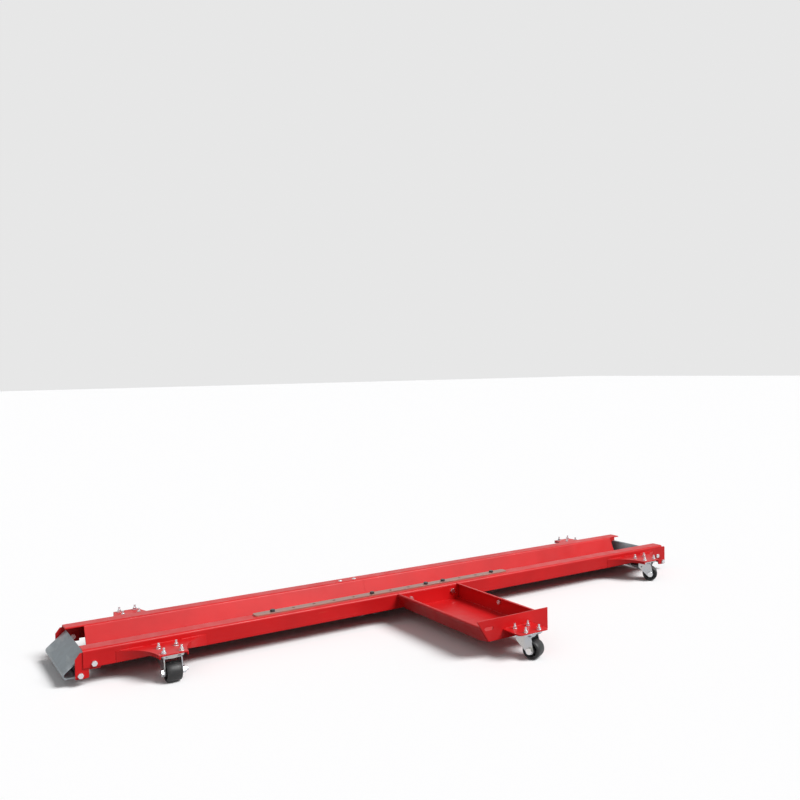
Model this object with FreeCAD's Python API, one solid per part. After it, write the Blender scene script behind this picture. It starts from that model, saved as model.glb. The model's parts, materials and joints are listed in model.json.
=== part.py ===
import FreeCAD, Part
import math
import os

# Low trolley for moving a parked motorcycle sideways.
# A long wheel trough of folded sheet stands on four swivel casters.
# A tray for the side stand reaches out to a fifth caster.
# While the pieces are made, X runs along the trough from its front end,
# Y is zero on its centre line and Z is zero on the ground.

# Sheet and fasteners
sheet = 3.0
bend_inside = 4.0
seat_gap = 0.3
weld_land = 6.0
bolt_clearance = 0.5
thread_showing = 2.0
m6 = 6.0
m8 = 8.0
m10 = 10.0
washer_thickness = 1.6

# Wheel trough
trough_length = 2042.0
trough_width = 260.0
trough_mouth = 170.0
trough_floor_width = 110.0
flange_top = 90.0
lip_bottom = 45.0
floor_underside = 22.0
floor_setback = 47.0
front_channel_length = 897.0
splice_overlap = 95.0
splice_bolt_inset = 23.0
splice_bolt_spacing = 49.0
splice_bolt_gauge = 70.0

# Perforated rail for the side stand tray
rail_width = 26.0
rail_thickness = 4.0
rail_offset = 100.0
rail_hole_pitch = 63.5
rail_hole_count = 13
rail_end_margin = 55.0
rail_bolt_numbers = (0, 5, 8, 9, 12)

# Hinge ears and flaps
ear_thickness = 4.0
ear_reach = 18.0
ear_foot_length = 32.0
ear_tail_length = 60.0
ear_foot_bottom = 20.0
ear_tail_bottom = 40.0
front_ear_corner = 15.0
rear_ear_corner = 3.0
ear_bolt_from_end = 26.0
ear_bolt_height = 54.0
pivot_outset = 6.0
pivot_height = 29.0
hinge_spacer_length = 7.2
hinge_size = m8
flap_knuckle_play = 0.3
flap_slope = 38.5
flap_tip_in = 13.0
flap_tip_up = 48.0
flap_reach = 39.0

# Wing brackets that carry the four corner casters
wing_caster_offset = 195.0
front_caster_place = 193.0
rear_caster_place = 1877.0
wing_outer = 228.0
wing_outer_half = 36.0
wing_flare_spare = 3.0
wing_flare_rise = 4.0
wing_flange_taper = 52.0

# Side stand tray and its outrigger
tray_past_splice = 119.0
tray_width = 208.0
tray_lean_out = 21.0
tray_lean_in = 9.0
tray_wall_height = 48.0
tray_underside = 40.0
tray_reach = 404.0
tray_lip = 10.0
tray_rise_run = 44.0
tray_rise = 8.0
tray_bolt_spacing = 152.0
tray_bolt_height = 68.0
end_plate_top = 105.0
end_plate_flared_top = 134.0
end_plate_flared_bottom = 97.0
strap_slot_length = 28.0
strap_slot_width = 9.0
strap_slot_height = 82.0
strap_slot_offset = 96.0
tray_wall_bolt_out = 204.0
tray_wall_bolt_height = 74.0
shelf_width = 100.0
shelf_corner = 9.0
shelf_caster_inset = 36.0

# Casters
caster_height = 70.0
caster_plate = 60.0
caster_plate_thickness = 3.0
caster_bolt_square = 44.0
caster_bolt_end = 8.0
caster_trail = 18.0
wheel_diameter = 50.0
wheel_width = 38.0
wheel_edge = 3.0
wheel_hub_radius = 10.0
wheel_web = 12.0
wheel_rim_inner = 17.0
axle_size = m10
axle_play = 0.1
side_play = 0.3
fork_sheet = 3.0
fork_crown_top = 61.0
fork_crown_radius = 23.0
fork_end_radius = 10.0
race_rim = 4.2
fork_shoulder = 10.0
kingpin_radius = 5.0
kingpin_head_radius = 8.0
kingpin_head_height = 3.0
kingpin_play = 0.3
ball_circle = 12.0
ball_play = 0.1
ball_count = 11
axle_end_gap = 6.0

# Brake pedal on the two rear casters
pedal_pivot_out = 10.0
pedal_pivot_height = 50.0
pedal_pin_radius = 2.0
pedal_pin_play = 0.1
pedal_length = 36.0
pedal_rise = 6.0
pedal_thickness = 2.5
pedal_shoe_length = 12.0
pedal_shoe_radius = 2.5
pedal_stroke = 11.0
pedal_stop_gap = 0.35

# Derived places
half_width = trough_width / 2
lip_inside = half_width - sheet
ear_top = flange_top - sheet - bend_inside
shelf_depth = shelf_caster_inset + caster_plate / 2
floor_top = floor_underside + sheet
ear_inside = lip_inside - ear_thickness
flap_width = 2 * (ear_inside - hinge_spacer_length - seat_gap)
wing_flare_radius = wing_outer + wing_flare_rise - half_width + wing_flare_spare
tray_centre = front_channel_length + tray_past_splice
splice_start = front_channel_length - splice_overlap
rail_length = rail_hole_pitch * (rail_hole_count - 1) + 2 * rail_end_margin
splice_hole = splice_start + splice_bolt_inset
rail_first_hole = splice_hole - rail_hole_pitch * rail_bolt_numbers[1]
wing_top = caster_height + sheet
wing_flange_depth = wing_top - sheet - lip_bottom
tray_top = tray_underside + tray_wall_height
tray_near = -half_width - tray_reach
end_plate_near = tray_near - sheet
shelf_caster_y = end_plate_near - shelf_caster_inset
wheel_radius = wheel_diameter / 2
fork_inside = wheel_width / 2 + 1.5
pivot_places = (-pivot_outset, trough_length + pivot_outset)

X = FreeCAD.Vector(1, 0, 0)
Y = FreeCAD.Vector(0, 1, 0)
Z = FreeCAD.Vector(0, 0, 1)


def point(x, y, z):
    return FreeCAD.Vector(x, y, z)


def block(x0, y0, z0, x1, y1, z1):
    return Part.makeBox(x1 - x0, y1 - y0, z1 - z0, point(x0, y0, z0))


def rod(radius, start, direction, length):
    return Part.makeCylinder(radius, length, start, direction)


def joined(shapes):
    whole = shapes[0]
    for shape in shapes[1:]:
        whole = whole.fuse(shape)
    return whole.removeSplitter()


def group(shapes):
    return Part.makeCompound(shapes)


def offset_line(points, distance):
    # Shifts an open line to its right hand side, with mitred corners
    moved = []
    last = len(points) - 1
    for i, (a, b) in enumerate(points):
        before = points[max(i - 1, 0)]
        after = points[min(i + 1, last)]
        first = unit(before, (a, b)) if i > 0 else unit((a, b), after)
        second = unit((a, b), after) if i < last else first
        nx = first[1] + second[1]
        ny = -first[0] - second[0]
        scale = 2 * distance / (nx * nx + ny * ny)
        moved.append((a + nx * scale, b + ny * scale))
    return moved


def unit(start, end):
    dx = end[0] - start[0]
    dy = end[1] - start[1]
    length = math.hypot(dx, dy)
    return (dx / length, dy / length)


def turns_left(before, here, after):
    first = unit(before, here)
    second = unit(here, after)
    return first[0] * second[1] - first[1] * second[0] > 0


def rounded_line(points, radii, place):
    # Edges of an open line whose inner corners are arcs of the given radii
    edges = []
    start = points[0]
    for i in range(1, len(points) - 1):
        here = points[i]
        back = unit(here, points[i - 1])
        ahead = unit(here, points[i + 1])
        half = math.acos(back[0] * ahead[0] + back[1] * ahead[1]) / 2
        reach = radii[i] / math.tan(half)
        middle = unit((0, 0), (back[0] + ahead[0], back[1] + ahead[1]))
        depth = radii[i] / math.sin(half) - radii[i]
        begin = (here[0] + back[0] * reach, here[1] + back[1] * reach)
        end = (here[0] + ahead[0] * reach, here[1] + ahead[1] * reach)
        crown = (here[0] + middle[0] * depth, here[1] + middle[1] * depth)
        edges.append(Part.LineSegment(place(*start), place(*begin)).toShape())
        edges.append(Part.Arc(place(*begin), place(*crown), place(*end)).toShape())
        start = end
    edges.append(Part.LineSegment(place(*start), place(*points[-1])).toShape())
    return edges


def folded(points, near, far, place, sweep):
    # Sheet between two offsets of a line, with bends that share their centres
    radii = [0.0]
    for i in range(1, len(points) - 1):
        left = turns_left(points[i - 1], points[i], points[i + 1])
        radii.append(bend_inside if left else bend_inside + sheet)
    sides = []
    for distance in (near, far):
        bends = [0.0]
        for i in range(1, len(points) - 1):
            left = turns_left(points[i - 1], points[i], points[i + 1])
            bends.append(radii[i] + distance if left else radii[i] - distance)
        sides.append((offset_line(points, distance), bends))
    edges = rounded_line(sides[0][0], sides[0][1], place)
    edges += rounded_line(sides[1][0], sides[1][1], place)
    for end in (0, -1):
        edges.append(Part.LineSegment(place(*sides[0][0][end]), place(*sides[1][0][end])).toShape())
    wire = Part.Wire(Part.__sortEdges__(edges))
    return Part.Face(wire).extrude(sweep)


def prism(corners, place, sweep):
    wire = Part.makePolygon([place(*corner) for corner in corners + corners[:1]])
    return Part.Face(wire).extrude(sweep)


def hexagon(across, height, base, direction):
    radius = across / math.sqrt(3)
    corners = []
    for i in range(6):
        angle = math.radians(60 * i)
        corners.append(point(radius * math.cos(angle), radius * math.sin(angle), 0))
    solid = Part.Face(Part.makePolygon(corners + corners[:1])).extrude(point(0, 0, height))
    crown = Part.makeCone(radius + height * 0.6, radius * 0.9, height)
    solid = solid.common(crown)
    solid.Placement = FreeCAD.Placement(base, FreeCAD.Rotation(Z, direction))
    return solid


def bolt(size, under_head, direction, shank):
    # Hexagon bolt whose head bears on under_head; the shank runs along direction
    head = hexagon(size * 1.6, size * 0.65, under_head, -direction)
    return joined([head, rod(size / 2, under_head, direction, shank)])


def nut(size, base, direction):
    body = hexagon(size * 1.6, size * 0.8, base, direction)
    bore = rod(size / 2, base - direction * size, direction, size * 3)
    return body.cut(bore)


def washer(size, base, direction):
    outer = rod(size * 1.05, base, direction, washer_thickness)
    return outer.cut(rod(size / 2 + 0.2, base - direction, direction, washer_thickness + 2))


def hole(size, base, direction, depth):
    return rod(size / 2 + bolt_clearance, base - direction * depth, direction, 2 * depth)


# The folded section of the trough, from one lip over the floor to the other
section = [
    (-half_width, lip_bottom),
    (-half_width, flange_top),
    (-trough_mouth / 2, flange_top),
    (-trough_floor_width / 2, floor_top),
    (trough_floor_width / 2, floor_top),
    (trough_mouth / 2, flange_top),
    (half_width, flange_top),
    (half_width, lip_bottom),
]


def channel(start, end, layer):
    # Layer 0 is the trough itself and layer 1 lies right under it
    return folded(
        section,
        layer * sheet,
        (layer + 1) * sheet,
        lambda a, b: point(start, a, b),
        X * (end - start),
    )


def end_relief(start, end):
    # Room for the flap to fold in between the lips
    inner = ear_inside - seat_gap
    return block(start, -inner, 0, end, inner, flange_top - sheet - seat_gap)


def floor_mouth(start, end):
    half = trough_mouth / 2
    return block(start, -half, 0, end, half, flange_top + sheet)


rail_holes = [rail_first_hole + rail_hole_pitch * i for i in range(rail_hole_count)]
splice_bolt_x = (splice_hole, splice_hole + splice_bolt_spacing)
ear_bolt_x = (ear_bolt_from_end, trough_length - ear_bolt_from_end)
tray_bolt_x = [tray_centre + side * tray_bolt_spacing / 2 for side in (-1, 1)]


def trough_holes():
    cuts = []
    for x in rail_holes:
        cuts.append(hole(m8, point(x, -rail_offset, flange_top), Z, 3 * sheet))
    for x in splice_bolt_x:
        cuts.append(hole(m8, point(x, rail_offset, flange_top), Z, 3 * sheet))
        for side in (-1, 1):
            place = point(x, side * splice_bolt_gauge / 2, floor_top)
            cuts.append(hole(m8, place, Z, 3 * sheet))
    for side in (-1, 1):
        for x in ear_bolt_x:
            cuts.append(hole(m8, point(x, side * half_width, ear_bolt_height), Y, 2 * sheet))
    for x in tray_bolt_x:
        cuts.append(hole(m8, point(x, -half_width, tray_bolt_height), Y, 2 * sheet))
    return cuts


def front_channel():
    body = channel(0, front_channel_length, 0)
    cuts = trough_holes()
    cuts.append(end_relief(-1, floor_setback))
    cuts.append(floor_mouth(-1, floor_setback))
    return body.cut(cuts)


def rear_channel():
    # The front of this half is belled out by one sheet to go round the other half
    plain = channel(front_channel_length + seat_gap, trough_length, 0)
    belled = channel(splice_start, front_channel_length + weld_land, 1)
    cuts = trough_holes()
    back = trough_length - floor_setback
    cuts.append(end_relief(back, trough_length + 1))
    cuts.append(floor_mouth(back, trough_length + 1))
    return joined([plain, belled]).cut(cuts)


def stand_rail():
    start = rail_first_hole - rail_end_margin
    near = -rail_offset - rail_width / 2
    body = block(start, near, flange_top, start + rail_length, near + rail_width,
                 flange_top + rail_thickness)
    upright = [edge for edge in body.Edges if edge.BoundBox.ZLength > rail_thickness / 2]
    body = body.makeFillet(rail_width / 4, upright)
    cuts = [hole(m8, point(x, -rail_offset, flange_top), Z, 2 * rail_thickness)
            for x in rail_holes]
    return body.cut(cuts)


def under_flange(x):
    # The belled layer is one sheet lower where the two halves overlap
    in_splice = splice_start < x < front_channel_length + weld_land
    return flange_top - (2 if in_splice else 1) * sheet


def rail_bolts():
    solids = []
    for i in rail_bolt_numbers:
        x = rail_holes[i]
        head = flange_top + rail_thickness
        end = under_flange(x) - 0.8 * m8 - washer_thickness - thread_showing
        solids.append(bolt(m8, point(x, -rail_offset, head), -Z, head - end))
    return group(solids)


def rail_nuts():
    solids = []
    for i in rail_bolt_numbers:
        x = rail_holes[i]
        seat = under_flange(x)
        solids.append(washer(m8, point(x, -rail_offset, seat), -Z))
        solids.append(nut(m8, point(x, -rail_offset, seat - washer_thickness), -Z))
    return group(solids)


def splice_places():
    places = []
    for x in splice_bolt_x:
        places.append((x, rail_offset, flange_top))
        for side in (-1, 1):
            places.append((x, side * splice_bolt_gauge / 2, floor_top))
    return places


def splice_bolts():
    solids = []
    for x, y, top in splice_places():
        dome = Part.makeSphere(m8, point(x, y, top - m8 * 0.55))
        cap = dome.common(block(x - 2 * m8, y - 2 * m8, top, x + 2 * m8, y + 2 * m8, top + m8))
        shank = rod(m8 / 2, point(x, y, top + 0.5), -Z, 2 * sheet + 0.8 * m8 + thread_showing)
        solids.append(joined([cap, shank]))
    return group(solids)


def splice_nuts():
    return group([nut(m8, point(x, y, top - 2 * sheet), -Z) for x, y, top in splice_places()])


def ear(end_x, outward, side, corner):
    # Outward is -1 at the front end and 1 at the rear end
    outline = [
        (ear_reach, ear_foot_bottom),
        (ear_reach, ear_top - corner),
        (ear_reach - corner * 0.8, ear_top),
        (ear_reach - ear_tail_length, ear_top),
        (ear_reach - ear_tail_length, ear_tail_bottom),
        (ear_reach - ear_foot_length, ear_tail_bottom),
        (ear_reach - ear_foot_length, ear_foot_bottom),
    ]
    face_y = side * lip_inside
    plate = prism(
        outline,
        lambda a, b: point(end_x + outward * a, face_y, b),
        Y * (-side * ear_thickness),
    )
    foot = [edge for edge in plate.Edges if edge.BoundBox.YLength > ear_thickness / 2
            and edge.CenterOfMass.z < ear_foot_bottom + 1]
    plate = plate.makeFillet(ear_thickness, foot)
    pivot = point(end_x + outward * pivot_outset, face_y, pivot_height)
    mount = point(end_x - outward * ear_bolt_from_end, face_y, ear_bolt_height)
    return plate.cut([hole(hinge_size, pivot, Y, 2 * ear_thickness), hole(m8, mount, Y, 2 * ear_thickness)])


def ear_bolts():
    solids = []
    for side in (-1, 1):
        for x in ear_bolt_x:
            head = point(x, side * half_width, ear_bolt_height)
            length = sheet + ear_thickness + 0.8 * m8 + seat_gap
            solids.append(bolt(m8, head, Y * -side, length))
    return group(solids)


def ear_nuts():
    return group([nut(m8, point(x, side * ear_inside, ear_bolt_height), Y * -side)
                  for side in (-1, 1) for x in ear_bolt_x])


def flap(pivot_x, outward, turned):
    # Bent sheet that is rolled round the hinge rod; turned folds it in over the trough
    knuckle_bore = hinge_size / 2 + flap_knuckle_play
    knuckle = knuckle_bore + sheet
    slope = math.radians(flap_slope)
    corner_a = -flap_tip_in + (flap_tip_up + knuckle) / math.tan(slope)
    bend = (corner_a - flap_reach) / (math.tan(math.pi / 2 - slope / 2) - 1)
    outer = [(0, -knuckle), (corner_a, -knuckle), (-flap_tip_in, flap_tip_up)]
    inner = offset_line(outer, -sheet)

    def place(a, b):
        return point(outward * a, -flap_width / 2, b)

    edges = rounded_line(outer, [0, bend, 0], place)
    edges += rounded_line(inner, [0, bend - sheet, 0], place)
    for end in (0, -1):
        edges.append(Part.LineSegment(place(*outer[end]), place(*inner[end])).toShape())
    wire = Part.Wire(Part.__sortEdges__(edges))
    leaf = Part.Face(wire).extrude(Y * flap_width)
    roll = rod(knuckle, place(0, 0), Y, flap_width)
    solid = joined([leaf, roll]).cut(rod(knuckle_bore, place(0, 0), Y, flap_width))
    if turned:
        solid.rotate(point(0, 0, 0), Y, -90 * outward)
    solid.translate(point(pivot_x, 0, pivot_height))
    return solid


def hinge_rod(pivot_x):
    head = point(pivot_x, -lip_inside, pivot_height)
    return bolt(hinge_size, head, Y, 2 * lip_inside + 0.8 * hinge_size + thread_showing)


def hinge_nuts():
    return group([nut(hinge_size, point(x, lip_inside, pivot_height), Y) for x in pivot_places])


def hinge_spacers():
    # Sleeves that keep the flap in the middle between its ears
    solids = []
    for x in pivot_places:
        for side in (-1, 1):
            base = point(x, side * ear_inside, pivot_height)
            outer = rod(hinge_size * 0.8, base, Y * -side, hinge_spacer_length)
            bore = rod(hinge_size / 2 + 0.2, base, Y * -side, hinge_spacer_length)
            solids.append(outer.cut(bore))
    return group(solids)


def flare_x(y):
    # Half length of a wing bracket at distance y from the centre line
    centre_y = wing_outer + wing_flare_rise
    centre_x = wing_outer_half + math.sqrt(wing_flare_radius ** 2 - wing_flare_rise ** 2)
    return centre_x - math.sqrt(wing_flare_radius ** 2 - (centre_y - y) ** 2)


def wing_flange(side, hand):
    # Turned down edge that follows the flare and gets shallower towards the caster
    middle = (half_width + wing_outer) / 2

    def line(inward):
        spots = [(flare_x(y) - inward, y) for y in (half_width, middle, wing_outer)]
        return [point(side * x, hand * y, wing_top - sheet) for x, y in spots]

    outer = line(0)
    inner = line(sheet)
    edges = [
        Part.Arc(*outer).toShape(),
        Part.LineSegment(outer[2], inner[2]).toShape(),
        Part.Arc(*inner).toShape(),
        Part.LineSegment(inner[0], outer[0]).toShape(),
    ]
    wall = Part.Face(Part.Wire(Part.__sortEdges__(edges))).extrude(Z * -wing_flange_depth)
    low = wing_top - sheet - wing_flange_depth
    high = wing_top - sheet - 2 * sheet
    taper = [
        (hand * half_width, low),
        (hand * (half_width + wing_flange_taper), high),
        (hand * (wing_outer + 1), high),
        (hand * (wing_outer + 1), low - 1),
        (hand * half_width, low - 1),
    ]
    wide = flare_x(half_width) + sheet
    return wall.cut(prism(taper, lambda a, b: point(-wide, a, b), X * 2 * wide))


def wing_bracket(caster_x, hand):
    middle = (half_width + wing_outer) / 2

    def spot(x, y):
        return point(x, hand * y, wing_top - sheet)

    edges = []
    for side in (-1, 1):
        flare = [spot(side * flare_x(y), y) for y in (half_width, middle, wing_outer)]
        edges.append(Part.Arc(*flare).toShape())
    for y in (half_width, wing_outer):
        edges.append(Part.LineSegment(spot(-flare_x(y), y), spot(flare_x(y), y)).toShape())
    plate = Part.Face(Part.Wire(Part.__sortEdges__(edges))).extrude(Z * sheet)
    solid = joined([plate, wing_flange(-1, hand), wing_flange(1, hand)])
    half = caster_bolt_square / 2
    for x in (-half, half):
        for y in (-half, half):
            place = point(x, hand * wing_caster_offset + y, wing_top)
            solid = solid.cut(hole(m6, place, Z, 2 * sheet))
    solid.translate(point(caster_x, 0, 0))
    return solid


def stand_tray():
    # Its front wall leans outwards and its rear wall is upright
    left = tray_centre - tray_width / 2 - tray_lean_out
    foot = tray_centre - tray_width / 2 + tray_lean_in
    right = tray_centre + tray_width / 2
    profile = [
        (left + tray_lip, tray_top),
        (left, tray_top),
        (foot, tray_underside),
        (right, tray_underside),
        (right, tray_top),
        (right - tray_lip, tray_top),
    ]
    body = folded(
        profile,
        -sheet,
        0,
        lambda a, b: point(a, -half_width, b),
        Y * (tray_near + half_width),
    )
    back_outline = [
        (foot, tray_underside + sheet),
        (right - bend_inside, tray_underside + sheet),
        (right - bend_inside, tray_top - sheet),
        (left + sheet, tray_top - sheet),
    ]
    back = prism(back_outline, lambda a, b: point(a, -half_width, b), Y * -sheet)
    low = tray_underside
    rise = [
        (tray_near + tray_rise_run, low - 1),
        (tray_near + tray_rise_run, low),
        (tray_near, low + tray_rise),
        (tray_near - 1, low + tray_rise),
        (tray_near - 1, low - 1),
    ]
    under = prism(rise, lambda a, b: point(left - 1, a, b), X * (right - left + 2))
    above = [(a, b + sheet) for a, b in rise[1:3]]
    ramp = prism(rise[1:3] + above[::-1], lambda a, b: point(left, a, b), X * (right - left))
    outer = prism(profile[1:5], lambda a, b: point(a, -half_width, b), Y * (tray_near + half_width))
    ramp = ramp.common(outer)
    solid = joined([body, back, ramp]).cut(under)
    cuts = [hole(m8, point(x, -half_width, tray_bolt_height), Y, 2 * sheet) for x in tray_bolt_x]
    cuts.append(hole(m8, tray_wall_bolt_place(), X, 2 * sheet))
    return solid.cut(cuts)


def tray_wall_bolt_place():
    # Outer face of the straight side wall
    right = tray_centre + tray_width / 2
    return point(right, -half_width - tray_wall_bolt_out, tray_wall_bolt_height)


def tray_end_plate():
    bottom = tray_underside + tray_rise
    outline = [
        (-end_plate_flared_bottom, bottom),
        (tray_width / 2, bottom),
        (tray_width / 2, end_plate_top),
        (-end_plate_flared_top, end_plate_top),
    ]
    plate = prism(outline, lambda a, b: point(tray_centre + a, tray_near, b), Y * -sheet)
    middle = tray_centre - strap_slot_offset
    straight = (strap_slot_length - strap_slot_width) / 2
    low = strap_slot_height - strap_slot_width / 2
    slot = block(middle - straight, tray_near - 2 * sheet, low,
                 middle + straight, tray_near + sheet, low + strap_slot_width)
    ends = [rod(strap_slot_width / 2, point(middle + end * straight, tray_near + sheet,
                                            strap_slot_height), -Y, 3 * sheet)
            for end in (-1, 1)]
    return plate.cut([slot] + ends)


def outrigger_shelf():
    # Plate that stands out from the end plate and holds the fifth caster
    half_shelf = shelf_width / 2
    body = block(tray_centre - half_shelf, end_plate_near - shelf_depth, wing_top - sheet,
                 tray_centre + half_shelf, end_plate_near, wing_top)
    outer = [edge for edge in body.Edges if edge.BoundBox.ZLength > sheet / 2
             and edge.CenterOfMass.y < end_plate_near - shelf_depth + 1]
    body = body.makeFillet(shelf_corner, outer)
    half = caster_bolt_square / 2
    cuts = [hole(m6, point(tray_centre + x, shelf_caster_y + y, wing_top), Z, 2 * sheet)
            for x in (-half, half) for y in (-half, half)]
    return body.cut(cuts)


def tray_bolts():
    solids = []
    for x in tray_bolt_x:
        head = point(x, -half_width - sheet, tray_bolt_height)
        solids.append(bolt(m8, head, Y, 2 * sheet + 0.8 * m8 + thread_showing))
    solids.append(bolt(m8, tray_wall_bolt_place() - X * sheet, X, sheet + 0.8 * m8 + thread_showing))
    return group(solids)


def tray_nuts():
    solids = [nut(m8, point(x, -lip_inside, tray_bolt_height), Y) for x in tray_bolt_x]
    solids.append(nut(m8, tray_wall_bolt_place(), X))
    return group(solids)


# Casters: name, place of the swivel axis, direction of trail in degrees, braked
casters = (
    ("front_near", front_caster_place, -wing_caster_offset, -90.0, False),
    ("front_far", front_caster_place, wing_caster_offset, 160.0, False),
    ("rear_near", rear_caster_place, -wing_caster_offset, -48.0, True),
    ("rear_far", rear_caster_place, wing_caster_offset, -130.0, True),
    ("outrigger", tray_centre, shelf_caster_y, -65.5, False),
)


def set_down(shape, caster):
    # Turns a caster piece to its trail direction and puts it at its swivel axis
    solid = shape.copy()
    solid.rotate(point(0, 0, 0), Z, caster[3])
    solid.translate(point(caster[1], caster[2], 0))
    return solid


def caster_bolt_places():
    half = caster_bolt_square / 2
    return [(caster[1] + x, caster[2] + y) for caster in casters
            for x in (-half, half) for y in (-half, half)]


def caster_bolts():
    under = caster_height - caster_plate_thickness
    length = caster_plate_thickness + sheet + washer_thickness + 0.8 * m6 + caster_bolt_end
    return group([bolt(m6, point(x, y, under), Z, length) for x, y in caster_bolt_places()])


def caster_nuts():
    solids = []
    for x, y in caster_bolt_places():
        solids.append(washer(m6, point(x, y, wing_top), Z))
        solids.append(nut(m6, point(x, y, wing_top + washer_thickness), Z))
    return group(solids)


def top_plate(caster):
    # Square plate with its pressed kingpin and the upper ball seat
    half = caster_plate / 2
    under = caster_height - caster_plate_thickness
    plate = block(-half, -half, under, half, half, caster_height)
    upright = [edge for edge in plate.Edges if edge.BoundBox.ZLength > caster_plate_thickness / 2]
    plate = plate.makeFillet(half / 5, upright)
    head_top = fork_crown_top - fork_sheet - side_play
    pin = rod(kingpin_radius, point(0, 0, head_top), Z, under - head_top + 1)
    head = rod(kingpin_head_radius, point(0, 0, head_top - kingpin_head_height), Z,
               kingpin_head_height)
    solid = joined([plate, pin, head])
    spot = caster_bolt_square / 2
    for x in (-spot, spot):
        for y in (-spot, spot):
            solid = solid.cut(hole(m6, point(x, y, under), Z, 2 * caster_plate_thickness))
    solid.translate(point(caster[1], caster[2], 0))
    return solid


def swivel_balls(caster):
    under = caster_height - caster_plate_thickness
    radius = (under - fork_crown_top) / 2 - ball_play
    height = (under + fork_crown_top) / 2
    solids = []
    for i in range(ball_count):
        angle = 2 * math.pi * i / ball_count
        centre = point(ball_circle * math.cos(angle), ball_circle * math.sin(angle), height)
        solids.append(Part.makeSphere(radius, centre))
    return set_down(group(solids), caster)


def fork(caster):
    low = fork_crown_top - fork_sheet
    crown = rod(fork_crown_radius, point(0, 0, low), Z, fork_sheet)
    rim = rod(fork_crown_radius, point(0, 0, low), Z, fork_sheet + race_rim)
    rim = rim.cut(rod(fork_crown_radius - fork_sheet, point(0, 0, low), Z, 2 * caster_height))
    half = fork_crown_radius - fork_sheet
    outside = fork_inside + fork_sheet
    bridge = block(-half, -outside, low, half, outside, low + fork_sheet)
    pieces = [crown, rim, bridge]
    for side in (-1, 1):
        outline = [
            (-half, low + fork_sheet),
            (half, low + fork_sheet),
            (fork_crown_radius, low - fork_shoulder / 2),
            (caster_trail + fork_end_radius, wheel_radius),
            (caster_trail - fork_end_radius * 0.8, wheel_radius - fork_end_radius * 0.6),
            (-half, low - fork_shoulder),
        ]
        base = side * fork_inside
        leg = prism(outline, lambda a, b: point(a, base, b), Y * side * fork_sheet)
        boss = rod(fork_end_radius, point(caster_trail, base, wheel_radius), Y * side, fork_sheet)
        pieces += [leg, boss]
    solid = joined(pieces)
    cuts = [rod(kingpin_radius + kingpin_play, point(0, 0, 0), Z, 2 * caster_height)]
    across = 2 * outside
    cuts.append(hole(axle_size, point(caster_trail, 0, wheel_radius), Y, across))
    if caster[4]:
        pin = pedal_pin_radius + pedal_pin_play
        cuts.append(rod(pin, point(-pedal_pivot_out, -across, pedal_pivot_height), Y, 2 * across))
    return set_down(solid.cut(cuts), caster)


def axle(caster):
    # Axle bolt and its nut
    outside = fork_inside + fork_sheet
    head = point(caster_trail, -outside, wheel_radius)
    pin = bolt(axle_size, head, Y, 2 * outside + 0.8 * axle_size + axle_end_gap)
    lock = nut(axle_size, point(caster_trail, outside, wheel_radius), Y)
    return set_down(group([pin, lock]), caster)


def wheel(caster):
    half = wheel_width / 2
    hub = fork_inside - side_play
    web = wheel_web / 2
    bore = axle_size / 2 + axle_play
    rim = wheel_rim_inner
    outline = [
        (bore, -hub), (wheel_hub_radius, -hub), (wheel_hub_radius + 1, -web), (rim - 1, -web),
        (rim, -half), (wheel_radius - wheel_edge, -half), (wheel_radius, -half + wheel_edge),
        (wheel_radius, half - wheel_edge), (wheel_radius - wheel_edge, half), (rim, half),
        (rim - 1, web), (wheel_hub_radius + 1, web), (wheel_hub_radius, hub), (bore, hub),
    ]
    wire = Part.makePolygon([point(a, b, 0) for a, b in outline + outline[:1]])
    solid = Part.Face(wire).revolve(point(0, 0, 0), Y, 360)
    solid.translate(point(caster_trail, 0, wheel_radius))
    return set_down(solid, caster)


def brake_pedal(caster):
    # Lever with its pin; when it is pressed, its shoe stops just short of the tread
    inside = fork_inside - side_play
    pivot = point(-pedal_pivot_out, 0, pedal_pivot_height)
    to_wheel = point(caster_trail, 0, wheel_radius) - pivot
    stop = wheel_radius + pedal_shoe_radius + pedal_stop_gap
    arm = pedal_shoe_length
    square = to_wheel.Length ** 2 + arm ** 2 - stop ** 2
    pressed = math.acos(square / (2 * to_wheel.Length * arm))
    angle = math.atan2(to_wheel.z, to_wheel.x) - pressed - math.radians(pedal_stroke)
    along = point(math.cos(angle), 0, math.sin(angle))
    across = point(-along.z, 0, along.x) * pedal_shoe_radius
    shoe_end = pivot + along * arm
    shoe = [pivot + across, pivot - across, shoe_end - across, shoe_end + across]
    tip = pivot + point(-pedal_length, 0, pedal_rise)
    rise = Z * pedal_thickness
    lever = [pivot + rise, shoe_end - across, tip - rise, tip]
    pieces = [rod(pedal_pin_radius + pedal_thickness, pivot - Y * inside, Y, 2 * inside)]
    pieces.append(rod(pedal_shoe_radius, shoe_end - Y * inside, Y, 2 * inside))
    for outline in (shoe, lever):
        corners = [corner - Y * inside for corner in outline]
        pieces.append(Part.Face(Part.makePolygon(corners + corners[:1])).extrude(Y * 2 * inside))
    outside = fork_inside + fork_sheet
    pieces.append(rod(pedal_pin_radius, pivot - Y * outside, Y, 2 * outside))
    return set_down(joined(pieces), caster)


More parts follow.
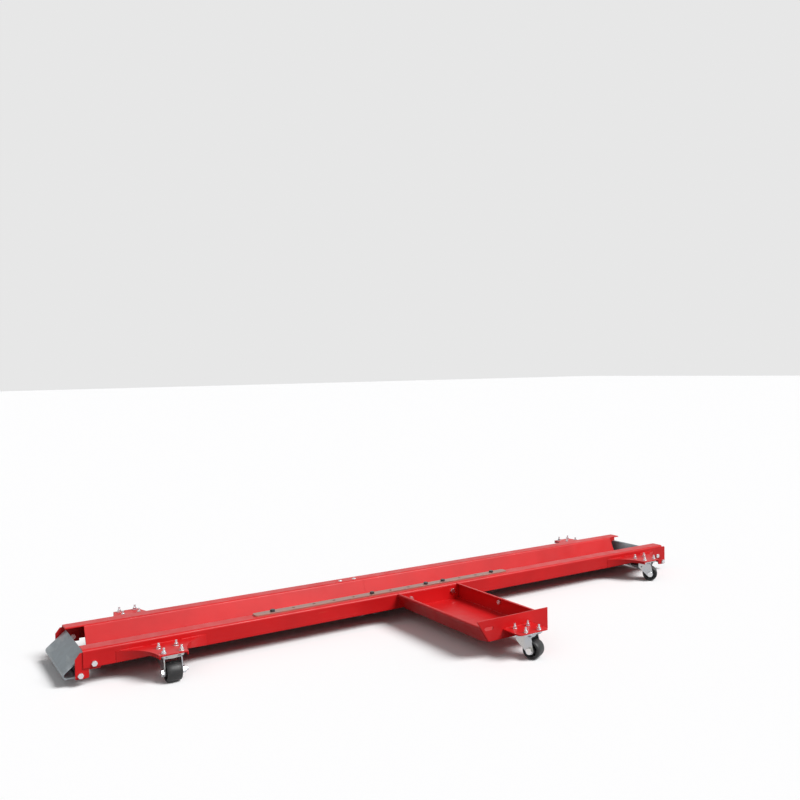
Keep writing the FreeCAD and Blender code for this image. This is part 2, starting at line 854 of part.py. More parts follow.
def all_pieces():
    made = {
        "front_channel": front_channel(),
        "rear_channel": rear_channel(),
        "stand_rail": stand_rail(),
        "rail_bolts": rail_bolts(),
        "rail_nuts": rail_nuts(),
        "splice_bolts": splice_bolts(),
        "splice_nuts": splice_nuts(),
        "ear_bolts": ear_bolts(),
        "ear_nuts": ear_nuts(),
        "front_flap": flap(pivot_places[0], -1, False),
        "rear_flap": flap(pivot_places[1], 1, True),
        "front_hinge_rod": hinge_rod(pivot_places[0]),
        "rear_hinge_rod": hinge_rod(pivot_places[1]),
        "hinge_nuts": hinge_nuts(),
        "hinge_spacers": hinge_spacers(),
        "stand_tray": stand_tray(),
        "tray_end_plate": tray_end_plate(),
        "outrigger_shelf": outrigger_shelf(),
        "tray_bolts": tray_bolts(),
        "tray_nuts": tray_nuts(),
        "caster_bolts": caster_bolts(),
        "caster_nuts": caster_nuts(),
    }
    ends = (("front", 0, -1, front_ear_corner), ("rear", trough_length, 1, rear_ear_corner))
    for hand_name, hand in (("near", -1), ("far", 1)):
        for end_name, end_x, outward, corner in ends:
            made[end_name + "_" + hand_name + "_ear"] = ear(end_x, outward, hand, corner)
    for end_name, caster_x in (("front", front_caster_place), ("rear", rear_caster_place)):
        for hand_name, hand in (("near", -1), ("far", 1)):
            made[end_name + "_" + hand_name + "_wing"] = wing_bracket(caster_x, hand)
    for caster in casters:
        name = caster[0]
        made[name + "_caster_plate"] = top_plate(caster)
        made[name + "_swivel_balls"] = swivel_balls(caster)
        made[name + "_fork"] = fork(caster)
        made[name + "_axle"] = axle(caster)
        made[name + "_wheel"] = wheel(caster)
        if caster[4]:
            made[name + "_brake_pedal"] = brake_pedal(caster)
    return made


pieces = all_pieces()

# The finished part has its origin at the middle of its box, on the ground
box = group(list(pieces.values())).optimalBoundingBox()
shift = point(-box.Center.x, -box.Center.y, 0)

os.makedirs("parts", exist_ok=True)
for name, shape in pieces.items():
    shape.translate(shift)
    shape.exportStep("parts/" + name + ".step")

print("nodes", len(pieces), "shift", round(shift.x, 3), round(shift.y, 3))
print("size", round(box.XLength, 1), round(box.YLength, 1), round(box.ZLength, 1))
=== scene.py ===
import json
import math

import bmesh
import bpy
from mathutils import Matrix, Vector


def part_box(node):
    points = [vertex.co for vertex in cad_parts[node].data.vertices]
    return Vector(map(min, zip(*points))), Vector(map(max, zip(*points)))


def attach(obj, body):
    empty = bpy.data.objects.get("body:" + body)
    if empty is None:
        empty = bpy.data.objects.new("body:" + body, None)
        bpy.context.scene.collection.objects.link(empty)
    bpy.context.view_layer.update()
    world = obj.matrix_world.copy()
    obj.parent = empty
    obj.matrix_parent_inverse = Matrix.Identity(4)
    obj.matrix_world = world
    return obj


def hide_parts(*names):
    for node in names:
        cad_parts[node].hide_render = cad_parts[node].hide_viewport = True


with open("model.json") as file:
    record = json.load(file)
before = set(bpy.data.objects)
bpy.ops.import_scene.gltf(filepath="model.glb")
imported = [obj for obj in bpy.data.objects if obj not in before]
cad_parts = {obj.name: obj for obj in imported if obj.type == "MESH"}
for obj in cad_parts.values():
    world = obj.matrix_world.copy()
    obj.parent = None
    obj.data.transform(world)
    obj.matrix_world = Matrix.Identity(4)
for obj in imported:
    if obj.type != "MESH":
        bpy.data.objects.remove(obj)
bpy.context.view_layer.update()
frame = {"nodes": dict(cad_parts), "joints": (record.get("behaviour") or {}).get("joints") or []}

bl_info = {
    "name": "Wheel Trough Trolley",
    "version": (1, 0, 0),
    "blender": (4, 5, 0),
    "location": "3D View > Sidebar > Trolley",
    "description": "Finishes and details a low trolley with a wheel trough on swivel casters",
    "category": "Object",
}

CASTERS = ("front_near", "front_far", "rear_near", "rear_far", "outrigger")
BRAKED = ("rear_near", "rear_far")
WINGS = ("front_near", "front_far", "rear_near", "rear_far")

# Colours that a user has no need to change
BLACK_OXIDE = (0.07, 0.07, 0.075)
# Red paint lightened by a painted sheen of pale glare, the colour of the stand rail
RED_STRIP_PAINTED_SHEEN = (0.46, 0.29, 0.25)
NYLON = (0.80, 0.80, 0.77)
BALL_STEEL = (0.75, 0.75, 0.77)
PEDAL_BLACK = (0.035, 0.036, 0.040)
HUB_BLACK = (0.020, 0.020, 0.022)
TYRE_MARK = (0.05, 0.035, 0.035)
FLOOR_DUST = (0.16, 0.155, 0.15)
ZINC_STREAK = (0.72, 0.76, 0.77)

# Where the tyre marks fade out: half the width of the lane, and the height above the ground
LANE_FADE = (0.030, 0.052)
MARK_FADE = (0.027, 0.034)

# Caster wheels
WHEEL_STEPS = 64
RIB_THICKNESS = 0.0016
HUB_CHAMFER = 0.0006

# Weld runs on a bracket, each with its start and length as parts of its share
BRACKET_RUNS = 3
RUN_START = 0.12
RUN_LENGTH = 0.76
# Bare metal at the ends of a run, and under the one at the tray's folded foot
BEAD_END = 0.006
TRAY_FOOT = 0.014
# Scale of a bead's rings: at a ripple, between two ripples, and at its tip
BEAD_SWELL = 1.16
BEAD_WAIST = 0.92
BEAD_TIP = 0.6

# Lamps: where they shine from, and how wide they look in degrees
KEY_FROM = (1.2, -1.55, 2.1)
KEY_SPREAD = 30.0
FILL_FROM = (-1.6, -0.9, 1.5)
FILL_SPREAD = 60.0
FLOOR_REACH = 40.0
FLOOR_WHITE = (0.99, 0.99, 0.995, 1.0)
FLOOR_SHADE = (0.30, 0.30, 0.30, 1.0)


class TrolleyFinish(bpy.types.PropertyGroup):
    """Paint, zinc and rubber of the trolley"""
    paint: bpy.props.FloatVectorProperty(
        name="Paint", description="Colour of the powder coat", subtype="COLOR",
        size=3, min=0, max=1, default=(0.62, 0.010, 0.012))
    paint_roughness: bpy.props.FloatProperty(
        name="Paint roughness", description="Dullness of the powder coat",
        min=0, max=1, default=0.34)
    orange_peel: bpy.props.FloatProperty(
        name="Orange peel", description="Spacing of the ripples in the powder coat",
        subtype="DISTANCE", unit="LENGTH", default=0.0022)
    scuff: bpy.props.FloatVectorProperty(
        name="Scuff", description="Colour of the pale rub marks on worn paint", subtype="COLOR",
        size=3, min=0, max=1, default=(0.72, 0.13, 0.09))
    zinc: bpy.props.FloatVectorProperty(
        name="Zinc", description="Colour of bright zinc plate", subtype="COLOR",
        size=3, min=0, max=1, default=(0.66, 0.67, 0.69))
    galvanised: bpy.props.FloatVectorProperty(
        name="Galvanised", description="Colour of the galvanised flaps", subtype="COLOR",
        size=3, min=0, max=1, default=(0.22, 0.25, 0.27))
    spangle: bpy.props.FloatProperty(
        name="Spangle", description="Width of a zinc crystal on galvanised sheet",
        subtype="DISTANCE", unit="LENGTH", default=0.012)
    rubber: bpy.props.FloatVectorProperty(
        name="Rubber", description="Colour of the caster treads", subtype="COLOR",
        size=3, min=0, max=1, default=(0.010, 0.010, 0.011))
    edge_round: bpy.props.FloatProperty(
        name="Edge round", description="How far light runs round a sheet edge",
        subtype="DISTANCE", unit="LENGTH", default=0.0009)


class TrolleyDetails(bpy.types.PropertyGroup):
    """Sizes of the details that are added to the trolley"""
    bead_radius: bpy.props.FloatProperty(
        name="Bead radius", description="Radius of a weld bead",
        subtype="DISTANCE", unit="LENGTH", default=0.00143)
    bead_ripple: bpy.props.FloatProperty(
        name="Bead ripple", description="Spacing of the ripples in a weld bead",
        subtype="DISTANCE", unit="LENGTH", default=0.0030)
    tray_lean: bpy.props.FloatProperty(
        name="Tray lean", description="How far the tray's front wall leans outwards",
        subtype="DISTANCE", unit="LENGTH", default=0.030)
    tread_crown: bpy.props.FloatProperty(
        name="Tread crown", description="How much lower the edge of a tread is than its middle",
        subtype="DISTANCE", unit="LENGTH", default=0.0012)
    hub_ribs: bpy.props.IntProperty(
        name="Hub ribs", description="Ribs on each side of a caster wheel", min=3, default=6)


class TrolleyStudio(bpy.types.PropertyGroup):
    """Camera, floor and lamps"""
    camera_place: bpy.props.FloatVectorProperty(
        name="Camera place", description="Where the camera stands", subtype="XYZ",
        unit="LENGTH", size=3, default=(-1.4290, -2.0806, 0.7591))
    heading: bpy.props.FloatProperty(
        name="Heading", description="Turn of the view from +Y towards +X",
        subtype="ANGLE", unit="ROTATION", default=math.radians(32.083))
    pitch: bpy.props.FloatProperty(
        name="Pitch", description="How far the view looks down",
        subtype="ANGLE", unit="ROTATION", default=math.radians(1.847))
    roll: bpy.props.FloatProperty(
        name="Roll", description="Turn of the camera about its own line of sight",
        subtype="ANGLE", unit="ROTATION", default=math.radians(0.959))
    lens: bpy.props.FloatProperty(
        name="Lens", description="Focal length in millimetres on a 36 mm sensor", default=38.343)
    lens_shift: bpy.props.FloatVectorProperty(
        name="Lens shift", description="Shift of the picture, as a part of the sensor's width",
        size=2, default=(-0.0014, -0.0059), precision=4)
    key_strength: bpy.props.FloatProperty(
        name="Key strength", description="Strength of the main lamp", default=3.2)
    fill_strength: bpy.props.FloatProperty(
        name="Fill strength", description="Strength of the broad lamp on the other side",
        default=0.3)
    room_light: bpy.props.FloatProperty(
        name="Room light", description="Strength of the light from all round", default=0.24)


# Materials

class Recipe:
    """A material's node tree, built from top to bottom"""

    def __init__(self, name):
        self.material = bpy.data.materials.new(name)
        self.material.use_nodes = True
        self.tree = self.material.node_tree
        self.tree.nodes.clear()
        self.output = self.add("OutputMaterial")
        self.skin = self.add("BsdfPrincipled")
        self.tree.links.new(self.skin.outputs["BSDF"], self.output.inputs["Surface"])
        self.place = self.add("TexCoord").outputs["Object"]

    def add(self, kind, **settings):
        node = self.tree.nodes.new("ShaderNode" + kind)
        for key, value in settings.items():
            setattr(node, key, value)
        return node

    def link(self, source, node, socket):
        self.tree.links.new(source, node.inputs[socket])

    def stretched(self, scale):
        mapping = self.add("Mapping")
        mapping.inputs["Scale"].default_value = scale
        self.link(self.place, mapping, "Vector")
        return mapping.outputs["Vector"]

    def noise(self, scale, detail=3.0, vector=None, roughness=0.5):
        node = self.add("TexNoise")
        node.inputs["Scale"].default_value = scale
        node.inputs["Detail"].default_value = detail
        node.inputs["Roughness"].default_value = roughness
        self.link(vector or self.place, node, "Vector")
        return node.outputs["Fac"]

    def band(self, source, low, high, from_low=0.0, from_high=1.0):
        node = self.add("MapRange")
        node.inputs["From Min"].default_value = from_low
        node.inputs["From Max"].default_value = from_high
        node.inputs["To Min"].default_value = low
        node.inputs["To Max"].default_value = high
        self.link(source, node, "Value")
        return node.outputs["Result"]

    def maths(self, operation, first, second):
        node = self.add("Math", operation=operation)
        for socket, value in enumerate((first, second)):
            if isinstance(value, (int, float)):
                node.inputs[socket].default_value = value
            else:
                self.link(value, node, socket)
        return node.outputs["Value"]

    def blend(self, amount, first, second):
        node = self.add("Mix", data_type="RGBA")
        self.link(amount, node, "Factor")
        for socket, value in (("A", first), ("B", second)):
            target = [s for s in node.inputs if s.name == socket and s.type == "RGBA"][0]
            if isinstance(value, (tuple, list)):
                target.default_value = (*value[:3], 1.0)
            else:
                self.tree.links.new(value, target)
        return [s for s in node.outputs if s.type == "RGBA"][0]

    def bump(self, height, depth, strength=1.0, normal=None):
        node = self.add("Bump")
        node.inputs["Distance"].default_value = depth
        node.inputs["Strength"].default_value = strength
        self.link(height, node, "Height")
        if normal:
            self.link(normal, node, "Normal")
        return node.outputs["Normal"]

    def soft_edge(self, radius):
        node = self.add("Bevel", samples=4)
        node.inputs["Radius"].default_value = radius
        return node.outputs["Normal"]

    def axis(self, name):
        node = self.add("SeparateXYZ")
        self.link(self.place, node, "Vector")
        return node.outputs[name]


def shade(colour, factor):
    return tuple(min(1.0, part * factor) for part in colour[:3])


def powder_coat(name, finish, worn_floor=False):
    """Glossy powder coat with orange peel, dull patches and a few rub marks"""
    recipe = Recipe(name)
    base = tuple(finish.paint)
    cloud = recipe.band(recipe.noise(7.0, 4.0), 0.0, 1.0, 0.3, 0.7)
    colour = recipe.blend(cloud, shade(base, 0.90), shade(base, 1.10))
    streaks = recipe.noise(90.0, 5.0, recipe.stretched((0.08, 1.0, 0.6)), 0.62)
    rub = recipe.band(streaks, 0.0, 1.0, 0.66, 0.76)
    patch = recipe.band(recipe.noise(5.0, 2.0), 0.0, 1.0, 0.48, 0.66)
    rub = recipe.maths("MULTIPLY", rub, patch)
    rub = recipe.maths("MULTIPLY", rub, 0.55)
    colour = recipe.blend(rub, colour, tuple(finish.scuff))
    if worn_floor:
        # Tyres leave grey rubber on the floor of the trough
        lane = recipe.maths("SUBTRACT", recipe.axis("Y"), trough_middle())
        lane = recipe.maths("ABSOLUTE", lane, 0.0)
        across = recipe.band(lane, 1.0, 0.0, *LANE_FADE)
        height = recipe.band(recipe.axis("Z"), 1.0, 0.0, *MARK_FADE)
        smear = recipe.noise(60.0, 6.0, recipe.stretched((0.12, 1.0, 1.0)), 0.6)
        smear = recipe.band(smear, 0.0, 1.0, 0.42, 0.72)
        grime = recipe.maths("MULTIPLY", recipe.maths("MULTIPLY", across, height), smear)
        colour = recipe.blend(recipe.maths("MULTIPLY", grime, 0.55), colour, TYRE_MARK)
    recipe.link(colour, recipe.skin, "Base Color")
    dull = recipe.band(recipe.noise(26.0, 5.0), -0.06, 0.08, 0.3, 0.7)
    rough = recipe.maths("ADD", dull, finish.paint_roughness)
    rough = recipe.maths("ADD", rough, recipe.maths("MULTIPLY", rub, 0.25))
    recipe.link(rough, recipe.skin, "Roughness")
    recipe.skin.inputs["Specular IOR Level"].default_value = 0.25
    peel = recipe.noise(1.0 / finish.orange_peel, 2.0)
    edge = recipe.soft_edge(finish.edge_round)
    wave = recipe.bump(recipe.noise(3.0, 2.0), 0.0012, 0.5, edge)
    recipe.link(recipe.bump(peel, 0.00010, 0.6, wave), recipe.skin, "Normal")
    return recipe.material


def zinc_plate(name, colour, roughness, brushed=(1.0, 1.0, 1.0), edge=0.0004):
    """Bright plated steel with a faint cloudy tint and fine grain"""
    recipe = Recipe(name)
    tint = recipe.band(recipe.noise(45.0, 3.0), 0.0, 1.0, 0.35, 0.65)
    warm = (colour[0] * 1.02, colour[1] * 0.99, colour[2] * 0.93)
    cool = (colour[0] * 0.92, colour[1] * 0.95, colour[2] * 1.0)
    recipe.link(recipe.blend(tint, warm, cool), recipe.skin, "Base Color")
    recipe.skin.inputs["Metallic"].default_value = 1.0
    grain = recipe.noise(700.0, 4.0, recipe.stretched(brushed))
    recipe.link(recipe.band(grain, roughness - 0.07, roughness + 0.09, 0.3, 0.7),
                recipe.skin, "Roughness")
    recipe.link(recipe.bump(grain, 0.00004, 0.6, recipe.soft_edge(edge)), recipe.skin, "Normal")
    return recipe.material


def threaded_zinc(name, colour, axis):
    """Bright zinc whose shanks carry a fine thread across the given axis"""
    recipe = Recipe(name)
    tint = recipe.band(recipe.noise(120.0, 2.0), 0.0, 1.0, 0.35, 0.65)
    tinted = recipe.blend(tint, shade(colour, 0.93), shade(colour, 1.04))
    recipe.link(tinted, recipe.skin, "Base Color")
    recipe.skin.inputs["Metallic"].default_value = 1.0
    grain = recipe.band(recipe.noise(500.0, 3.0), 0.20, 0.34, 0.3, 0.7)
    recipe.link(grain, recipe.skin, "Roughness")
    thread = recipe.add("TexWave", wave_type="BANDS", bands_direction=axis, wave_profile="SIN")
    thread.inputs["Scale"].default_value = 300.0
    thread.inputs["Distortion"].default_value = 0.0
    recipe.link(recipe.place, thread, "Vector")
    height = recipe.bump(thread.outputs["Fac"], 0.00025, 0.8, recipe.soft_edge(0.0004))
    recipe.link(height, recipe.skin, "Normal")
    return recipe.material


def galvanised_sheet(name, finish):
    """Hot-dip zinc with its crystal pattern, dull blue grey with pale streaks"""
    recipe = Recipe(name)
    base = tuple(finish.galvanised)
    crystals = recipe.add("TexVoronoi", feature="F1")
    crystals.inputs["Scale"].default_value = 1.0 / finish.spangle
    recipe.link(recipe.place, crystals, "Vector")
    grey = recipe.add("RGBToBW")
    recipe.link(crystals.outputs["Color"], grey, "Color")
    colour = recipe.blend(grey.outputs["Val"], shade(base, 0.84), shade(base, 1.16))
    streak = recipe.noise(30.0, 4.0, recipe.stretched((1.0, 0.25, 1.0)))
    streak = recipe.band(streak, 0.0, 1.0, 0.5, 0.75)
    colour = recipe.blend(recipe.maths("MULTIPLY", streak, 0.35), colour, ZINC_STREAK)
    recipe.link(colour, recipe.skin, "Base Color")
    recipe.skin.inputs["Metallic"].default_value = 0.75
    recipe.link(recipe.band(grey.outputs["Val"], 0.38, 0.55), recipe.skin, "Roughness")
    height = recipe.bump(recipe.noise(160.0, 4.0), 0.00015, 0.5, recipe.soft_edge(0.0008))
    recipe.link(height, recipe.skin, "Normal")
    return recipe.material


def tread_rubber(name, colour):
    """Hard black rubber with floor dust in its pores"""
    recipe = Recipe(name)
    dust = recipe.band(recipe.noise(140.0, 6.0), 0.0, 1.0, 0.50, 0.78)
    dusty = recipe.blend(recipe.maths("MULTIPLY", dust, 0.1), tuple(colour), FLOOR_DUST)
    recipe.link(dusty, recipe.skin, "Base Color")
    recipe.link(recipe.band(dust, 0.45, 0.70), recipe.skin, "Roughness")
    recipe.link(recipe.bump(recipe.noise(900.0, 5.0), 0.0002, 0.7, recipe.soft_edge(0.0006)),
                recipe.skin, "Normal")
    return recipe.material


def moulded_plastic(name, colour, roughness):
    """Moulded plastic with a fine spark-eroded grain"""
    recipe = Recipe(name)
    cloud = recipe.band(recipe.noise(60.0, 3.0), 0.0, 1.0, 0.35, 0.65)
    tinted = recipe.blend(cloud, shade(colour, 0.85), shade(colour, 1.15))
    recipe.link(tinted, recipe.skin, "Base Color")
    recipe.link(recipe.band(recipe.noise(300.0, 3.0), roughness - 0.06, roughness + 0.08),
                recipe.skin, "Roughness")
    recipe.link(recipe.bump(recipe.noise(2500.0, 2.0), 0.00005, 0.6, recipe.soft_edge(0.0005)),
                recipe.skin, "Normal")
    return recipe.material


def trough_middle():
    low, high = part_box("front_channel")
    return (low.y + high.y) / 2


# Helpers for pieces

def finished(name, mesh_tool, material, body, smooth=True):
    """Turns a bmesh into a piece that rides on a body"""
    bmesh.ops.remove_doubles(mesh_tool, verts=mesh_tool.verts, dist=1e-6)
    bmesh.ops.recalc_face_normals(mesh_tool, faces=mesh_tool.faces)
    mesh = bpy.data.meshes.new(name)
    for face in mesh_tool.faces:
        face.smooth = smooth
    mesh_tool.to_mesh(mesh)
    mesh_tool.free()
    mesh.materials.append(material)
    piece = bpy.data.objects.new(name, mesh)
    bpy.context.scene.collection.objects.link(piece)
    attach(piece, body)
    return piece


def dress(node, material):
    target = frame["nodes"][node]
    target.data.materials.clear()
    target.data.materials.append(material)


def joint(name):
    return [entry for entry in frame["joints"] if entry["name"] == name][0]


def wheel_place(caster):
    """Matrix that takes a wheel drawn about the Z axis to its place on the caster"""
    spin = joint(caster + "_wheel_spin")
    axis = Vector(spin["axis"])
    turn = Vector((0, 0, 1)).rotation_difference(axis).to_matrix().to_4x4()
    return Matrix.Translation(Vector(spin["pos_m"])) @ turn


def mirrored(half):
    """The lower half of a profile, from the points of its upper half"""
    return [(radius, -height) for radius, height in reversed(half)]


def spun(profile):
    """Revolves a closed profile of (radius, height) points about the Z axis"""
    tool = bmesh.new()
    ring = [tool.verts.new((radius, 0, height)) for radius, height in profile]
    edges = [tool.edges.new((ring[i], ring[(i + 1) % len(ring)])) for i in range(len(ring))]
    bmesh.ops.spin(tool, geom=ring + edges, cent=(0, 0, 0), axis=(0, 0, 1), dvec=(0, 0, 0),
                   angle=math.tau, steps=WHEEL_STEPS, use_merge=True, use_duplicate=False)
    return tool


class TROLLEY_OT_paint_sheet(bpy.types.Operator):
    """Powder coat on the trough, brackets, ears and tray"""
    bl_idname = "trolley.paint_sheet"
    bl_label = "Paint Sheet"

    def execute(self, context):
        finish = context.scene.trolley_finish
        coat = powder_coat("red_powder_coat", finish)
        trough = powder_coat("trough_powder_coat", finish, worn_floor=True)
        for node in ("front_channel", "rear_channel"):
            dress(node, trough)
        plates = ["stand_tray", "tray_end_plate", "outrigger_shelf"]
        plates += [wing + "_wing" for wing in WINGS] + [wing + "_ear" for wing in WINGS]
        for node in plates:
            dress(node, coat)
        return {"FINISHED"}


class TROLLEY_OT_plate_hardware(bpy.types.Operator):
    """Zinc on the bolts, nuts and caster parts, plated metal coloured red with a painted sheen on
    the rail, galvanised sheet on the flaps
    """
    bl_idname = "trolley.plate_hardware"
    bl_label = "Plate Hardware"

    def execute(self, context):
        finish = context.scene.trolley_finish
        zinc = tuple(finish.zinc)
        upright = threaded_zinc("zinc_thread_upright", zinc, "Z")
        across = threaded_zinc("zinc_thread_across", zinc, "Y")
        for node in ("caster_bolts", "splice_bolts"):
            dress(node, upright)
        for node in ("ear_bolts", "tray_bolts", "front_hinge_rod", "rear_hinge_rod"):
            dress(node, across)
        plain = zinc_plate("zinc_nuts", zinc, 0.24)
        for held in ("caster", "rail", "splice", "ear", "tray", "hinge"):
            dress(held + "_nuts", plain)
        dress("rail_bolts", zinc_plate("black_oxide", BLACK_OXIDE, 0.38))
        # The rail's colour is red paint with a painted sheen of pale glare
        dress("stand_rail", zinc_plate("zinc_strip", RED_STRIP_PAINTED_SHEEN, 0.45, (0.03, 1.0, 1.0)))
        leaf = galvanised_sheet("galvanised_sheet", finish)
        for node in ("front_flap", "rear_flap"):
            dress(node, leaf)
        dress("hinge_spacers", moulded_plastic("nylon", NYLON, 0.45))
        pressed = zinc_plate("caster_zinc", shade(zinc, 0.70), 0.28)
        steel = zinc_plate("ball_steel", BALL_STEEL, 0.12)
        for caster in CASTERS:
            dress(caster + "_caster_plate", pressed)
            dress(caster + "_fork", pressed)
            dress(caster + "_swivel_balls", steel)
            dress(caster + "_axle", plain)
        pedal = moulded_plastic("black_pedal_coat", PEDAL_BLACK, 0.38)
        for caster in BRAKED:
            dress(caster + "_brake_pedal", pedal)
        return {"FINISHED"}


class TROLLEY_OT_caster_wheels(bpy.types.Operator):
    """Tyre and ribbed hub of each caster wheel"""
    bl_idname = "trolley.caster_wheels"
    bl_label = "Caster Wheels"

    def execute(self, context):
        finish = context.scene.trolley_finish
        details = context.scene.trolley_details
        rubber = tread_rubber("tread_rubber", finish.rubber)
        core = moulded_plastic("hub_plastic", HUB_BLACK, 0.36)
        for caster in CASTERS:
            self.make_wheel(caster, rubber, core, details)
        return {"FINISHED"}

    def make_wheel(self, caster, rubber, core, details):
        place = wheel_place(caster)
        inverse = place.inverted()
        points = [inverse @ vert.co for vert in frame["nodes"][caster + "_wheel"].data.vertices]
        radius = max(math.hypot(p.x, p.y) for p in points)
        hub = max(p.z for p in points)
        bore = min(math.hypot(p.x, p.y) for p in points)
        width = max(p.z for p in points if math.hypot(p.x, p.y) > radius * 0.8)
        crown = details.tread_crown
        half = [
            (radius - crown * 0.35, width * 0.45), (radius - crown, width * 0.80),
            (radius - 2 * crown, width * 0.93), (radius - 4 * crown, width),
            (radius * 0.80, width), (radius * 0.74, width * 0.90),
        ]
        tool = spun(mirrored(half) + [(radius, 0.0)] + half)
        bmesh.ops.transform(tool, matrix=place, verts=tool.verts)
        tyre = finished(caster + "_tyre", tool, rubber, caster + "_wheel")
        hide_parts(caster + "_wheel")
        web = width * 0.35
        half = [
            (radius * 0.742, width * 0.92), (radius * 0.68, width * 0.92), (radius * 0.66, web),
            (bore * 2.3, web), (bore * 2.1, hub - HUB_CHAMFER), (bore * 1.9, hub), (bore, hub),
        ]
        tool = spun(mirrored(half) + half)
        for side in (-1, 1):
            for i in range(details.hub_ribs):
                self.add_rib(tool, side, math.tau * i / details.hub_ribs, bore * 2.1, radius * 0.69,
                             web, width * 0.80)
        bmesh.ops.transform(tool, matrix=place, verts=tool.verts)
        finished(caster + "_hub", tool, core, caster + "_wheel", smooth=False)

    def add_rib(self, tool, side, angle, inner, outer, low, high):
        """One rib that stands on the web, from the hub to the rim"""
        made = bmesh.ops.create_cube(tool, size=1.0)["verts"]
        size = Matrix.Diagonal((outer - inner, RIB_THICKNESS, high - low, 1.0))
        place = Matrix.Translation(((inner + outer) / 2, 0, side * (low + high) / 2))
        turn = Matrix.Rotation(angle, 4, "Z")
        bmesh.ops.transform(tool, matrix=turn @ place @ size, verts=made)


class TROLLEY_OT_weld_beads(bpy.types.Operator):
    """Painted weld beads where brackets and plates meet the trough and tray"""
    bl_idname = "trolley.weld_beads"
    bl_label = "Weld Beads"

    def execute(self, context):
        details = context.scene.trolley_details
        coat = powder_coat("bead_powder_coat", context.scene.trolley_finish)
        radius = details.bead_radius
        # The middle of a bead stands this far out of the corner that it fills
        out = radius * 0.4
        up = radius * 0.2
        for wing in WINGS:
            low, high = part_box(wing + "_wing")
            hand = -1 if "near" in wing else 1
            face = high.y if hand < 0 else low.y
            share = (high.x - low.x) / BRACKET_RUNS
            tool = bmesh.new()
            for i in range(BRACKET_RUNS):
                start = Vector((low.x + share * (i + RUN_START), face + hand * out, high.z + up))
                self.lay_bead(tool, start, start + Vector((share * RUN_LENGTH, 0, 0)), details)
            finished(wing + "_weld", tool, coat, "trolley")
        low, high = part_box("outrigger_shelf")
        tool = bmesh.new()
        start = Vector((low.x + BEAD_END, high.y - out, high.z + up))
        self.lay_bead(tool, start, Vector((high.x - BEAD_END, start.y, start.z)), details)
        finished("shelf_weld", tool, coat, "trolley")
        low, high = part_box("stand_tray")
        tool = bmesh.new()
        edge = radius * 0.3
        for face, lean, side in ((low.x, details.tray_lean, -1), (high.x, 0.0, 1)):
            ends = []
            for z in (low.z + TRAY_FOOT, high.z - BEAD_END):
                x = face + lean * (high.z - z) / (high.z - low.z) + side * edge
                ends.append(Vector((x, low.y + edge, z)))
            self.lay_bead(tool, ends[0], ends[1], details)
        finished("tray_end_weld", tool, coat, "trolley")
        return {"FINISHED"}

    def lay_bead(self, tool, start, end, details):
        """A row of rings that swell and shrink like the ripples of a weld"""
        run = end - start
        steps = max(4, round(run.length / details.bead_ripple * 2))
        turn = Vector((0, 0, 1)).rotation_difference(run).to_matrix().to_4x4()
        ring = bmesh.ops.create_circle(tool, segments=8, radius=details.bead_radius,
                                       cap_ends=True)["verts"]
        bmesh.ops.transform(tool, matrix=Matrix.Translation(start) @ turn, verts=ring)
        edges = list({edge for vert in ring for edge in vert.link_edges})
        scale = 1.0
        for i in range(1, steps + 1):
            made = bmesh.ops.extrude_edge_only(tool, edges=edges)["geom"]
            ring = [item for item in made if isinstance(item, bmesh.types.BMVert)]
            edges = [item for item in made if isinstance(item, bmesh.types.BMEdge)]
            swell = BEAD_SWELL if i % 2 else BEAD_WAIST
            swell *= BEAD_TIP if i == steps else 1.0
            middle = sum((vert.co for vert in ring), Vector()) / len(ring)
            bmesh.ops.translate(tool, vec=run / steps, verts=ring)
            resize = Matrix.Scale(swell / scale, 4)
            hub = Matrix.Translation(middle + run / steps)
            bmesh.ops.transform(tool, matrix=hub @ resize @ hub.inverted(), verts=ring)
            scale = swell
        bmesh.ops.contextual_create(tool, geom=edges)


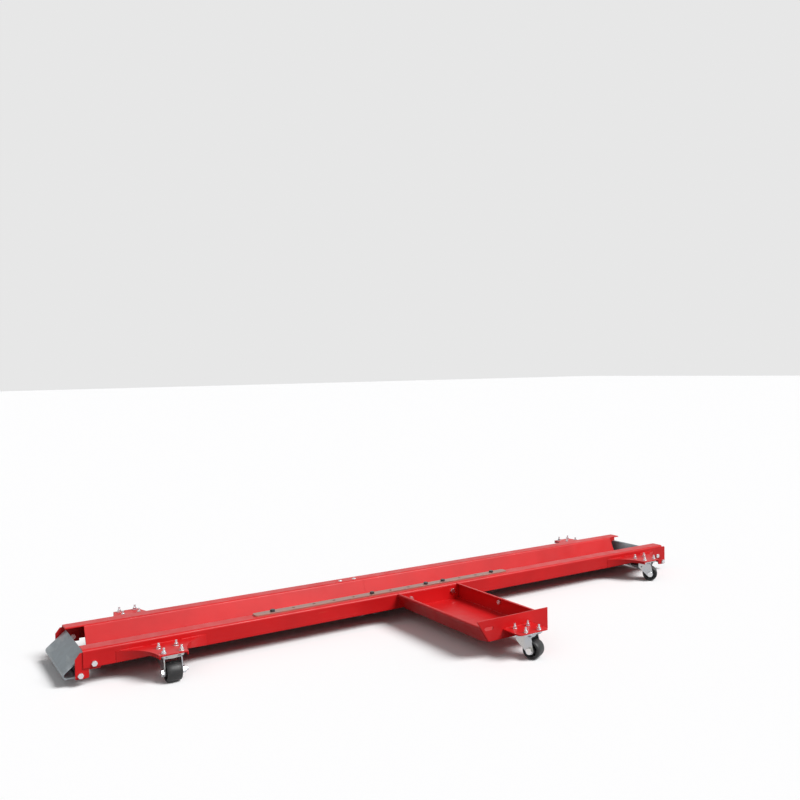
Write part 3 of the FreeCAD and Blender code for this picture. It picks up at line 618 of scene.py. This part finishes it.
class TROLLEY_OT_set_studio(bpy.types.Operator):
    """Pale floor, soft lamps and the camera"""
    bl_idname = "trolley.set_studio"
    bl_label = "Set Studio"

    def execute(self, context):
        studio = context.scene.trolley_studio
        self.lay_floor(context.scene)
        self.light_room(context.scene, studio.room_light)
        self.hang_sun("key", KEY_FROM, KEY_SPREAD, studio.key_strength)
        self.hang_sun("fill", FILL_FROM, FILL_SPREAD, studio.fill_strength)
        self.set_camera(context.scene, studio)
        context.scene.view_settings.view_transform = "Standard"
        return {"FINISHED"}

    def lay_floor(self, scene):
        tool = bmesh.new()
        bmesh.ops.create_grid(tool, x_segments=1, y_segments=1, size=FLOOR_REACH)
        mesh = bpy.data.meshes.new("floor")
        tool.to_mesh(mesh)
        tool.free()
        floor = bpy.data.objects.new("floor", mesh)
        scene.collection.objects.link(floor)
        recipe = Recipe("floor_paint")
        recipe.skin.inputs["Base Color"].default_value = FLOOR_WHITE
        recipe.skin.inputs["Roughness"].default_value = 0.9
        recipe.skin.inputs["Specular IOR Level"].default_value = 0.0
        # A darker floor for diffuse rays keeps its bounce light off the undersides
        dim = recipe.add("BsdfDiffuse")
        dim.inputs["Color"].default_value = FLOOR_SHADE
        mix = recipe.add("MixShader")
        recipe.link(self.background_rays(recipe.tree), mix, "Fac")
        recipe.tree.links.new(dim.outputs["BSDF"], mix.inputs[1])
        recipe.tree.links.new(recipe.skin.outputs["BSDF"], mix.inputs[2])
        recipe.tree.links.new(mix.outputs["Shader"], recipe.output.inputs["Surface"])
        mesh.materials.append(recipe.material)

    def background_rays(self, tree):
        """One for rays that show the background: camera, glossy and transmission rays"""
        seen = tree.nodes.new("ShaderNodeLightPath")
        total = seen.outputs["Is Camera Ray"]
        for name in ("Is Glossy Ray", "Is Transmission Ray"):
            either = tree.nodes.new("ShaderNodeMath")
            either.operation = "MAXIMUM"
            tree.links.new(total, either.inputs[0])
            tree.links.new(seen.outputs[name], either.inputs[1])
            total = either.outputs["Value"]
        return total

    def light_room(self, scene, strength):
        world = bpy.data.worlds.new("room")
        scene.world = world
        world.use_nodes = True
        tree = world.node_tree
        tree.nodes.clear()
        room = tree.nodes.new("ShaderNodeBackground")
        room.inputs["Strength"].default_value = strength
        white = tree.nodes.new("ShaderNodeBackground")
        white.inputs["Strength"].default_value = 1.0
        mix = tree.nodes.new("ShaderNodeMixShader")
        output = tree.nodes.new("ShaderNodeOutputWorld")
        tree.links.new(self.background_rays(tree), mix.inputs["Fac"])
        tree.links.new(room.outputs["Background"], mix.inputs[1])
        tree.links.new(white.outputs["Background"], mix.inputs[2])
        tree.links.new(mix.outputs["Shader"], output.inputs["Surface"])

    def hang_sun(self, name, direction, spread, strength):
        """Lamp at infinity that shines from a direction, with soft shadows"""
        lamp = bpy.data.lights.new(name, "SUN")
        lamp.angle = math.radians(spread)
        lamp.energy = strength
        holder = bpy.data.objects.new(name, lamp)
        holder.rotation_euler = Vector(direction).to_track_quat("Z", "Y").to_euler()
        bpy.context.scene.collection.objects.link(holder)

    def set_camera(self, scene, studio):
        forward = Vector((math.sin(studio.heading) * math.cos(studio.pitch),
                          math.cos(studio.heading) * math.cos(studio.pitch),
                          -math.sin(studio.pitch)))
        right = Vector((math.cos(studio.heading), -math.sin(studio.heading), 0.0))
        up = right.cross(forward)
        tilted_right = right * math.cos(studio.roll) - up * math.sin(studio.roll)
        tilted_up = right * math.sin(studio.roll) + up * math.cos(studio.roll)
        data = bpy.data.cameras.new("camera")
        data.lens = studio.lens
        data.sensor_width = 36.0
        data.shift_x, data.shift_y = studio.lens_shift
        camera = bpy.data.objects.new("camera", data)
        turn = Matrix((tilted_right, tilted_up, -forward)).transposed().to_4x4()
        camera.matrix_world = Matrix.Translation(Vector(studio.camera_place)) @ turn
        scene.collection.objects.link(camera)
        scene.camera = camera


class TROLLEY_PT_panel(bpy.types.Panel):
    """Shows a button for each of the trolley's steps in the sidebar"""
    bl_idname = "TROLLEY_PT_panel"
    bl_label = "Trolley"
    bl_space_type = "VIEW_3D"
    bl_region_type = "UI"
    bl_category = "Trolley"

    def draw(self, context):
        for step in STEPS:
            self.layout.operator(step.bl_idname)


STEPS = (
    TROLLEY_OT_set_studio,
    TROLLEY_OT_paint_sheet,
    TROLLEY_OT_plate_hardware,
    TROLLEY_OT_caster_wheels,
    TROLLEY_OT_weld_beads,
)
CLASSES = (TrolleyFinish, TrolleyDetails, TrolleyStudio) + STEPS + (TROLLEY_PT_panel,)


def register():
    for entry in CLASSES:
        bpy.utils.register_class(entry)
    bpy.types.Scene.trolley_finish = bpy.props.PointerProperty(type=TrolleyFinish)
    bpy.types.Scene.trolley_details = bpy.props.PointerProperty(type=TrolleyDetails)
    bpy.types.Scene.trolley_studio = bpy.props.PointerProperty(type=TrolleyStudio)


def unregister():
    del bpy.types.Scene.trolley_studio
    del bpy.types.Scene.trolley_details
    del bpy.types.Scene.trolley_finish
    for entry in reversed(CLASSES):
        bpy.utils.unregister_class(entry)


def main():
    register()
    bpy.ops.trolley.set_studio()
    bpy.ops.trolley.paint_sheet()
    bpy.ops.trolley.plate_hardware()
    bpy.ops.trolley.caster_wheels()
    bpy.ops.trolley.weld_beads()


if __name__ == "__main__":
    main()
